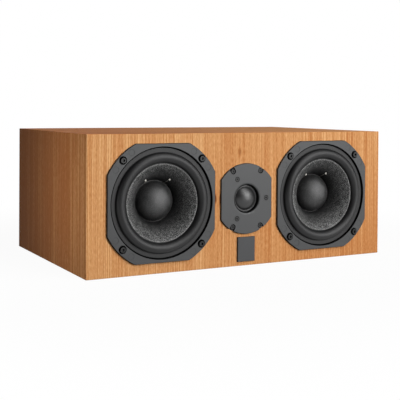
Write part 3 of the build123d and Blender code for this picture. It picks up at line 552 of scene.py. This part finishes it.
# Surrounds of the bass units
# A moulded rubber half-roll between the frame and the cone, with a flat flange glued to each. It rolls
# as the cone travels, so it is laid out in short arcs.
def sweep_section(name, section, centre, first_turn, last_turn, steps):
    """Mesh of a closed section, as radius and Y, swept about a unit's axis, with ends on a part turn."""
    full = abs(last_turn - first_turn - 2 * math.pi) < 1e-6
    rows = steps if full else steps + 1
    turns = [first_turn + (last_turn - first_turn) * step / steps for step in range(rows)]
    points = [
        (centre.x + radius * math.cos(turn), y, centre.z + radius * math.sin(turn))
        for turn in turns
        for radius, y in section
    ]
    count = len(section)
    faces = []
    for row in range(steps):
        here = row * count
        there = (row + 1) % rows * count
        for spot in range(count):
            after = (spot + 1) % count
            faces.append((here + spot, here + after, there + after, there + spot))
    if not full:
        faces.append(tuple(range(count)))
        faces.append(tuple(reversed(range(steps * count, (steps + 1) * count))))
    mesh = bpy.data.meshes.new(name)
    mesh.from_pydata(points, [], faces)
    shape = bmesh.new()
    shape.from_mesh(mesh)
    bmesh.ops.recalc_face_normals(shape, faces=shape.faces[:])
    shape.to_mesh(mesh)
    shape.free()
    mesh.shade_smooth()
    mesh.set_sharp_from_angle(angle=sharp_edge)
    piece = bpy.data.objects.new(name, mesh)
    bpy.context.scene.collection.objects.link(piece)
    return piece


def flexing_ring(side, part, section, centre, bend_from, bend_to, finish):
    """A ring of separate arcs about a unit's axis. The points at the radii bend_from and bend_to are worked
    out for each arc, but nothing uses them.
    """
    turn = 2 * math.pi / arc_count
    for arc in range(arc_count):
        name = f"{side}_{part}_arc_{arc:02d}"
        piece = sweep_section(name, section, centre, arc * turn, (arc + 1) * turn, arc_steps)
        piece.data.materials.append(finish)
        out = Vector((math.cos((arc + 0.5) * turn), 0, math.sin((arc + 0.5) * turn)))
        bend_start = centre + out * bend_from
        bend_end = centre + out * bend_to
        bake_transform(piece)
        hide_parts(f"{side}_{part}")


surround_rubber = mottled(
    "surround_rubber", paint(17, 17, 18), 0.15, 0.0011, 0.5, 0.00003, Specular_IOR_Level=0.42
)
sharp_edge = math.radians(35)
rubber_sheet = 0.0012
rubber_flange = 0.0057
lip_overlap = 0.0009
bend_inside = 0.0005
bend_outside = 0.0018
arc_count = 16
arc_steps = 14
roll_steps = 20
for side in ("left", "right"):
    low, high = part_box(f"{side}_surround")
    centre = (low + high) / 2
    outer = (high.x - low.x) / 2
    roll = high.y - low.y - rubber_sheet
    middle = outer - rubber_flange - roll
    flat = low.y + roll
    cone_low, cone_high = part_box(f"{side}_cone")
    inner = (cone_high.x - cone_low.x) / 2 - lip_overlap
    crest = [math.pi * step / roll_steps for step in range(roll_steps + 1)]
    front = [(middle + roll * math.cos(turn), flat - roll * math.sin(turn)) for turn in crest]
    hollow = roll - rubber_sheet
    back = [(middle - hollow * math.cos(turn), flat - hollow * math.sin(turn)) for turn in crest]
    foot = flat + rubber_sheet
    section = [
        (outer, flat),
        *front,
        (inner, flat),
        (inner, foot),
        (middle - hollow, foot),
        *back,
        (middle + hollow, foot),
        (outer, foot),
    ]
    roll_start = middle - roll + bend_inside
    roll_end = middle + roll - bend_outside
    flexing_ring(side, "surround", section, centre, roll_start, roll_end, surround_rubber)


# Cones and dust domes
# Each cone is woven cloth, pressed to a flare and stiffened with black resin that leaves a pale fuzz of
# fibre ends. The fuzz is thinned towards the neck as painted shade and thickened on the lip as a painted
# highlight. The dust dome is a finer cloth, glued in over the coil with a bead.
neck_shade_fade_start = 0.48
neck_shade_fuzz = 0.04
lip_highlight_band = 0.003
lip_highlight_fuzz = 0.5


def fibre_cloth(name, deep, pale, thread, fuzz, relief, roughness, lip=None, **constants):
    """Resined cloth of a bass unit: a plain weave under a fuzz of pale fibre ends. Given a lip radius, the
    fuzz is thinned towards the neck as painted shade and thickened on the lip as a painted highlight.
    """
    material, shader, place = new_finish(name, **constants)
    warp = place.math("SINE", place.part("X") * (math.pi / thread))
    weft = place.math("SINE", place.part("Z") * (math.pi / thread))
    weave = warp * weft * 0.5 + 0.5
    fibres = place.noise(fuzz, 3.0)
    clumps = place.noise(fuzz * 6, 2.0)
    cover = (fibres + (clumps - 0.5) * 0.2).rise(0.42, 0.72)
    if lip is not None:
        radius = length_of(*from_unit(place))
        # Painted shade: the pale fuzz thins towards the neck.
        out_of_neck_shade = radius.rise(lip * neck_shade_fade_start, lip)
        cover = cover * (out_of_neck_shade * (1 - neck_shade_fuzz) + neck_shade_fuzz)
        # Painted highlight: a band of extra pale fuzz on the lip.
        cover = cover + radius.rise(lip - lip_highlight_band, lip) * fibres * lip_highlight_fuzz
    place.feed(shader.inputs["Base Color"], cover.tint(deep, pale))
    place.feed(shader.inputs["Roughness"], cover * 0.2 + roughness)
    place.feed(shader.inputs["Normal"], (weave * 0.4 + fibres).bump(relief, 0.8))
    return material


cone_rim = (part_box("right_cone")[1].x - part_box("right_cone")[0].x) / 2
cone_cloth = fibre_cloth(
    "cone_cloth",
    paint(9, 9, 10),
    paint(150, 150, 149),
    thread=0.0008,
    fuzz=0.0009,
    relief=0.00010,
    roughness=0.46,
    lip=cone_rim,
    Specular_IOR_Level=0.3,
)
dome_cloth = fibre_cloth(
    "dome_cloth",
    paint(8, 8, 9),
    paint(64, 64, 64),
    thread=0.0005,
    fuzz=0.0013,
    relief=0.00040,
    roughness=0.36,
    IOR=1.72,
)
dress(cone_cloth, "left_cone", "right_cone")
dress(dome_cloth, "left_dust_dome", "right_dust_dome")
glue_bead = mottled("glue_bead", paint(84, 84, 83), 0.15, 0.002, 0.4, 0.0001)
bead_radius = 0.0005
bead_sides = 10
bead_steps = 120
for side in ("left", "right"):
    low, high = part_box(f"{side}_dust_dome")
    centre = (low + high) / 2
    rim = (high.x - low.x) / 2
    bead_turns = [2 * math.pi * step / bead_sides for step in range(bead_sides)]
    ring = [
        (rim + bead_radius * math.cos(turn), high.y - bead_radius * (1 + math.sin(turn)))
        for turn in bead_turns
    ]
    bead = sweep_section(f"{side}_dome_bead", ring, centre, 0, 2 * math.pi, bead_steps)
    bead.data.materials.append(glue_bead)
    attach(bead, f"{side}_diaphragm")


# Leads of the bass units
# A bare tinned wire comes out under the dust dome and runs up the cone to each hollow rivet. Behind the
# rivet a slack braid goes on to a solder tag of the unit's terminal board, and flexes with the cone.
def round_wires(name, routes, radius, finish):
    """One piece of round wires, each on a smooth line that the points of its route pull into shape."""
    curve = bpy.data.curves.new(name, "CURVE")
    curve.dimensions = "3D"
    curve.bevel_depth = radius
    curve.bevel_resolution = wire_rounding
    curve.use_fill_caps = True
    for route in routes:
        spline = curve.splines.new("NURBS")
        spline.points.add(len(route) - 1)
        for point, spot in zip(spline.points, route):
            point.co = (*spot, 1.0)
        spline.order_u = 3
        spline.use_endpoint_u = True
    holder = bpy.data.objects.new(name + "_lines", curve)
    bpy.context.scene.collection.objects.link(holder)
    made = holder.evaluated_get(bpy.context.evaluated_depsgraph_get())
    mesh = bpy.data.meshes.new_from_object(made)
    bpy.data.objects.remove(holder)
    shape = bmesh.new()
    shape.from_mesh(mesh)
    bmesh.ops.remove_doubles(shape, verts=shape.verts[:], dist=wire_weld)
    bmesh.ops.recalc_face_normals(shape, faces=shape.faces[:])
    shape.to_mesh(mesh)
    shape.free()
    mesh.materials.append(finish)
    mesh.shade_smooth()
    piece = bpy.data.objects.new(name, mesh)
    bpy.context.scene.collection.objects.link(piece)
    return piece


tinned = mottled("tinned_braid", paint(178, 175, 168), 0.12, 0.0004, 0.5, 0.00005, Metallic=1.0)
wire_rounding = 3
wire_weld = 0.00002
wire_radius = 0.0005
wire_steps = 6
wire_end = 0.0024
room_ahead = 0.1
braid_radius = 0.0006
braid_rise = 0.008
tag_offset = 0.0055
rivet_radius = 0.0015
rivet_bore = 0.0005
rivet_edge = 0.0004
rivet_length = 0.004
rivet_steps = 24
for side in ("left", "right"):
    cone = nodes[f"{side}_cone"]
    cone_faces = [tuple(face.vertices) for face in cone.data.polygons]
    surface = BVHTree.FromPolygons([point.co for point in cone.data.vertices], cone_faces)
    low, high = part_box(f"{side}_dust_dome")
    dome_centre = (low + high) / 2
    rim = (high.x - low.x) / 2
    low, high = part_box(f"{side}_leads")
    middle_x = (low.x + high.x) / 2
    rivet_z = low.z + rivet_radius
    tag_y = high.y - braid_radius
    board_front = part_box(f"{side}_terminal_board")[0].y
    rivet = [
        (rivet_bore, low.y),
        (rivet_radius - rivet_edge, low.y),
        (rivet_radius, low.y + rivet_edge),
        (rivet_radius, low.y + rivet_length),
        (rivet_bore, low.y + rivet_length),
    ]
    wire_routes = []
    braid_routes = []
    for number, way in enumerate((-1, 1), 1):
        rivet_x = middle_x + way * ((high.x - low.x) / 2 - rivet_radius)
        rivet_place = Vector((rivet_x, low.y, rivet_z))
        rivet_name = f"{side}_lead_rivet_{number}"
        eyelet = sweep_section(rivet_name, rivet, rivet_place, 0, 2 * math.pi, rivet_steps)
        eyelet.data.materials.append(tinned)
        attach(eyelet, f"{side}_diaphragm")
        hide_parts(f"{side}_leads")
        out = rivet_place - dome_centre
        out.y = 0.0
        reach = out.length - wire_end - rim
        out.normalize()
        wire_route = []
        for step in range(wire_steps + 1):
            from_front = dome_centre + out * (rim + reach * step / wire_steps)
            from_front.y = cad_low.y - room_ahead
            hit = surface.ray_cast(from_front, Vector((0, 1, 0)))[0]
            wire_route.append(hit + Vector((0, -wire_radius, 0)))
        wire_routes.append(wire_route)
        tag_x = middle_x + way * tag_offset
        braid_routes.append(
            [
                (rivet_x, low.y + rivet_edge, rivet_z),
                (rivet_x, board_front, rivet_z),
                (tag_x, tag_y, high.z - braid_rise),
                (tag_x, tag_y, high.z),
            ]
        )
    wires = round_wires(f"{side}_lead_out_wires", wire_routes, wire_radius, tinned)
    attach(wires, f"{side}_diaphragm")
    braids = round_wires(f"{side}_lead_braids", braid_routes, braid_radius, tinned)
    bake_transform(braids)
    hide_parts(f"{side}_leads")


# Spiders of the bass units
# A ring of impregnated cloth, pressed to round corrugations, is glued to the coil's former and to its seat
# in the frame. It centres the coil and flexes with the cone, so it is laid out in arcs as the surround is.
spider_cloth = mottled("spider_cloth", paint(206, 172, 104), 0.12, 0.0008, 0.85, 0.0002)
spider_sheet = 0.0006
spider_neck = 0.0254
spider_flat = 0.003
spider_seat = 0.0078
spider_bend_share = 0.98
spider_waves = 3
spider_steps = 48
for side in ("left", "right"):
    low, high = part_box(f"{side}_spider")
    centre = (low + high) / 2
    outer = (high.x - low.x) / 2
    wave_height = (high.y - low.y - spider_sheet) / 2
    face = low.y + wave_height
    first = spider_neck + spider_flat
    last = outer - spider_seat
    front = [(spider_neck, face)]
    for step in range(spider_steps + 1):
        share = step / spider_steps
        wave = math.sin(2 * math.pi * spider_waves * share)
        front.append((first + (last - first) * share, face - wave_height * wave))
    front.append((outer, face))
    back = [(radius, y + spider_sheet) for radius, y in reversed(front)]
    bend_end = last * spider_bend_share
    flexing_ring(side, "spider", front + back, centre, first, bend_end, spider_cloth)


# Motors of the bass units, behind the cones
# Copper-wound coils on the cones' necks, in the gap between zinc plated steel parts that a ferrite ring
# magnetises, glued and pressed together behind the frame. A phenolic board on the frame takes the leads.
copper = mottled("enamelled_copper", paint(196, 112, 62), 0.12, 0.0004, 0.3, 0.00008, Metallic=1.0)
zinc_steel = mottled("zinc_steel", paint(178, 180, 184), 0.10, 0.003, 0.34, 0.00003, Metallic=1.0)
ferrite = mottled("ferrite", paint(52, 52, 54), 0.15, 0.002, 0.7, 0.0001)
phenolic = mottled("phenolic_board", paint(142, 98, 52), 0.12, 0.0012, 0.5, 0.00003)
for side in ("left", "right"):
    dress(copper, f"{side}_voice_coil")
    dress(phenolic, f"{side}_terminal_board")
    dress(zinc_steel, f"{side}_front_plate", f"{side}_yoke")
    dress(ferrite, f"{side}_magnet")


# Treble unit
# A moulded satin face plate with a flared mouth round a soft dome of doped cloth, on its own small motor.
# Four pan-head screws sit in notches of the rim and three countersunk ones hold the motor on.
treble_height = (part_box("tweeter_plate")[0].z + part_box("tweeter_plate")[1].z) / 2
mouth_shade = 0.0210
mouth_edge = 0.0225
notch_reach = 0.048
notch_turn = math.radians(60)
notch_radius = 0.0045
notch_blur = 0.0001
plate_grey, plate_shader, place = new_finish("plate_grey")
across = place.math("ABSOLUTE", place.part("X"))
up = place.math("ABSOLUTE", place.part("Z") - treble_height)
# Painted shade: the inside of the flared mouth and the four rim notches are covered near black.
mouth = 1.0 - length_of(across, up).rise(mouth_shade, mouth_edge)
from_notch = length_of(across - notch_reach * math.cos(notch_turn), up - notch_reach * math.sin(notch_turn))
notch = 1.0 - from_notch.rise(notch_radius - recess_blur, notch_radius + notch_blur)
shaded = place.math("MAXIMUM", mouth, notch)
grain = place.noise(0.0009, 3.0)
satin = grain.rise(0.3, 0.7).tint(paint(48, 49, 50), paint(52, 53, 54))
place.feed(plate_shader.inputs["Base Color"], satin)
place.feed(plate_shader.inputs["Roughness"], (grain - 0.5) * 0.2 + 0.45)
place.feed(plate_shader.inputs["Normal"], grain.bump(0.00002, 0.6))
painted_shade_over(plate_grey, shaded, paint(5, 5, 5))
doped_dome = mottled("doped_dome", paint(4, 4, 5), 0.15, 0.0007, 0.43, 0.00002, Specular_IOR_Level=0.85)
dress(plate_grey, "tweeter_plate")
dress(doped_dome, "tweeter_dome")
dress(copper, "tweeter_voice_coil")
dress(zinc_steel, "tweeter_front_plate", "tweeter_yoke")
dress(ferrite, "tweeter_magnet")
pan_head_radius = 0.0037
pan_head_height = 0.0024
pan_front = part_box("tweeter_mounting_screws")[0].y
set_screws(
    "tweeter_pan_screws",
    corner_seats("tweeter_mounting_screws", pan_head_radius, pan_front + pan_head_height),
    black_oxide,
    "screw",
    ["tweeter_mounting_screws"],
    Head_Radius=pan_head_radius,
    Head_Height=pan_head_height,
    Head_Edge=0.0007,
    Socket_Radius=0.00145,
    Socket_Depth=0.0012,
    Shank_Radius=0.002,
    Shank_Length=0.016,
)
assembly_reach = 0.034
assembly_head = 0.0027
assembly_socket = 0.0016
head_blur = 0.0005
socket_blur = 0.0004
assembly_screws_shaded, assembly_shader, place = new_finish("assembly_screws_shaded", Metallic=0.6)
from_screw = None
for turn in (0, 2 * math.pi / 3, 4 * math.pi / 3):
    aside = place.part("X") - assembly_reach * math.cos(turn)
    above = place.part("Z") - treble_height - assembly_reach * math.sin(turn)
    reach = length_of(aside, above)
    from_screw = reach if from_screw is None else place.math("MINIMUM", from_screw, reach)
worn = place.noise(0.0006, 3.0)
# Painted shade: the hex socket and the countersink gap round each head are near black, and only the head's
# face between them is grey.
on_head = 1.0 - from_screw.rise(assembly_head, assembly_head + head_blur)
face = on_head * from_screw.rise(assembly_socket - socket_blur, assembly_socket)
place.feed(assembly_shader.inputs["Base Color"], face.tint(paint(4, 4, 4), paint(50, 50, 50)))
place.feed(assembly_shader.inputs["Roughness"], worn * 0.2 + 0.35)
place.feed(assembly_shader.inputs["Normal"], worn.bump(0.00002, 0.6))
dress(assembly_screws_shaded, "tweeter_assembly_screws")


# Plate below the treble unit
# A small metal plate with bevelled edges, painted satin grey. It is glued to the front on the cabinet's
# centre line and left bare.
dress(mottled("badge_grey", paint(42, 43, 45), 0.08, 0.0008, 0.45, 0.00003), "badge_plate")


# Terminals at the back
# A satin black moulded panel, screwed over an opening in the rear board, carries two gold-plated posts
# with a fluted screw cap each, red for positive and black for negative.
terminal_black = mottled("terminal_black", paint(38, 38, 39), 0.12, 0.0006, 0.55, 0.00008)
gold = mottled("gold_plate", paint(232, 190, 104), 0.05, 0.0015, 0.2, 0.00001, Metallic=1.0)
red_cap = mottled("red_cap", paint(168, 30, 26), 0.08, 0.001, 0.3, 0.00002, Coat_Weight=0.4)
black_cap = mottled("black_cap", paint(34, 34, 35), 0.1, 0.001, 0.3, 0.00002, Coat_Weight=0.4)
dress(terminal_black, "terminal_panel", "board_standoffs")
dress(gold, "binding_posts", "post_nuts")
dress(red_cap, "positive_post_cap")
dress(black_cap, "negative_post_cap")
terminal_head_radius = 0.00325
terminal_head_height = 0.0018
terminal_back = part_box("terminal_screws")[1].y
set_screws(
    "terminal_pan_screws",
    corner_seats("terminal_screws", terminal_head_radius, terminal_back - terminal_head_height),
    black_oxide,
    "screw",
    ["terminal_screws"],
    Head_Radius=terminal_head_radius,
    Head_Height=terminal_head_height,
    Head_Edge=0.0006,
    Socket_Radius=0.0013,
    Socket_Depth=0.001,
    Shank_Radius=0.00175,
    Shank_Length=0.014,
    Facing=-math.pi / 2,
)


# Crossover
# A phenolic board on plastic stand-offs on the cabinet's floor, with air-cored copper coils, film
# capacitors and cement resistors.
dress(phenolic, "crossover_board")
dress(copper, "bass_inductor", "treble_inductor")
dress(mottled("capacitor_film", paint(212, 190, 92), 0.06, 0.002, 0.35, 0.00003), "crossover_capacitors")
dress(mottled("cement_body", paint(222, 219, 208), 0.06, 0.0008, 0.8, 0.0001), "crossover_resistors")


# Studio
# A white sweep under and behind the cabinet. A large soft light stands at the front right, another above the
# front, a low one behind the right and a small weak fill beside the left. The camera is where the photograph
# was taken from.
floor_drop = 0.0002
sweep_reach = 40.0
sweep_back = 5.0
sweep_bend = 1.5
sweep_height = 4.0
bend_steps = 12
path = [(-sweep_reach, -floor_drop), (sweep_back - sweep_bend, -floor_drop)]
for step in range(1, bend_steps + 1):
    turn = math.pi / 2 * step / bend_steps
    bend_y = sweep_back - sweep_bend * (1 - math.sin(turn))
    bend_z = sweep_bend * (1 - math.cos(turn)) - floor_drop
    path.append((bend_y, bend_z))
path.append((sweep_back, sweep_height))
points = [(side * sweep_reach, y, z) for y, z in path for side in (-1, 1)]
faces = [(2 * step, 2 * step + 1, 2 * step + 3, 2 * step + 2) for step in range(len(path) - 1)]
sweep_mesh = bpy.data.meshes.new("studio_sweep")
sweep_mesh.from_pydata(points, [], faces)
sweep = bpy.data.objects.new("studio_sweep", sweep_mesh)
bpy.context.scene.collection.objects.link(sweep)
sweep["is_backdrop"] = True
sweep_white = bpy.data.materials.new("sweep_white")
sweep_white.use_nodes = True
sweep_tree = sweep_white.node_tree
sweep_tree.nodes.clear()
place = Value(sweep_tree, sweep_tree.nodes.new("ShaderNodeTexCoord").outputs["Object"])
rays = sweep_tree.nodes.new("ShaderNodeLightPath")
shadow_near = 0.35
shadow_far = 0.8
shadow_share = 0.045
seen_grey = (0.8, 0.8, 0.8, 1.0)
bounce_grey = (0.04, 0.04, 0.04, 1.0)
ray_kinds = ("Is Camera Ray", "Is Glossy Ray", "Is Transmission Ray")
seen = [Value(sweep_tree, rays.outputs[kind]) for kind in ray_kinds]
away = place.node("ShaderNodeVectorMath", {"operation": "LENGTH"}, {0: place}, "Value")
clear = away.rise(shadow_near, shadow_far) * shadow_share + (1 - shadow_share)
glow = place.math("MINIMUM", seen[0] + seen[1] + seen[2], 1.0) * clear
lit = place.node("ShaderNodeBsdfDiffuse", None, {"Color": seen[0].tint(bounce_grey, seen_grey)})
white = place.node("ShaderNodeEmission", None, {"Color": (1.0, 1.0, 1.0, 1.0), "Strength": 1.0})
shown = place.node("ShaderNodeMixShader", None, {0: glow, 1: lit, 2: white})
sweep_tree.links.new(shown.socket, sweep_tree.nodes.new("ShaderNodeOutputMaterial").inputs["Surface"])
sweep_mesh.materials.append(sweep_white)

world = bpy.data.worlds.new("studio_air")
bpy.context.scene.world = world
world.use_nodes = True
world.node_tree.nodes["Background"].inputs["Color"].default_value = (1.0, 1.0, 1.0, 1.0)
world.node_tree.nodes["Background"].inputs["Strength"].default_value = 0.02


def soft_light(name, stand, target, width, height, power):
    """A rectangular soft light that points at a target and isn't seen itself."""
    lamp = bpy.data.lights.new(name, "AREA")
    lamp.shape = "RECTANGLE"
    lamp.size = width
    lamp.size_y = height
    lamp.energy = power
    light = bpy.data.objects.new(name, lamp)
    light.location = stand
    light.rotation_euler = (Vector(target) - Vector(stand)).to_track_quat("-Z", "Y").to_euler()
    light.visible_camera = False
    bpy.context.scene.collection.objects.link(light)


front_centre = (0.0, -0.16, 0.1)
soft_light("side_light", (1.85, -3.25, 1.05), front_centre, 2.6, 2.4, 134.0)
soft_light("main_light", (0.6, -2.3, 2.5), front_centre, 1.6, 2.4, 53.0)
soft_light("back_light", (1.9, 2.0, 0.1), (0.1, 0.1, 0.1), 1.6, 0.2, 44.0)
soft_light("fill_light", (-0.505, -0.12, 0.1), (-0.255, -0.12, 0.1), 0.08, 0.3, 0.35)

camera_place = (-0.6674, -1.2538, 0.2387)
image_size = 400
focal_pixels = 850.07
centre_row = 118.12
view_turn = math.radians(28.257)
view_tilt = math.radians(-0.767)
view_roll = math.radians(0.386)
level_ahead = Vector((math.sin(view_turn), math.cos(view_turn), 0.0))
ahead = level_ahead * math.cos(view_tilt) + Vector((0.0, 0.0, math.sin(view_tilt)))
level_right = Vector((math.cos(view_turn), -math.sin(view_turn), 0.0))
level_up = level_right.cross(ahead)
right = level_right * math.cos(view_roll) + level_up * math.sin(view_roll)
upright = level_up * math.cos(view_roll) - level_right * math.sin(view_roll)
lens = bpy.data.cameras.new("camera")
lens.sensor_width = 36.0
lens.lens = focal_pixels / image_size * lens.sensor_width
lens.shift_y = (centre_row - image_size / 2) / image_size
camera = bpy.data.objects.new("camera", lens)
camera.matrix_world = Matrix.Translation(camera_place) @ Matrix(
    (
        (right.x, upright.x, -ahead.x),
        (right.y, upright.y, -ahead.y),
        (right.z, upright.z, -ahead.z),
    )
).to_4x4()
bpy.context.scene.collection.objects.link(camera)
bpy.context.scene.camera = camera
bpy.context.scene.view_settings.view_transform = "Standard"

low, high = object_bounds()
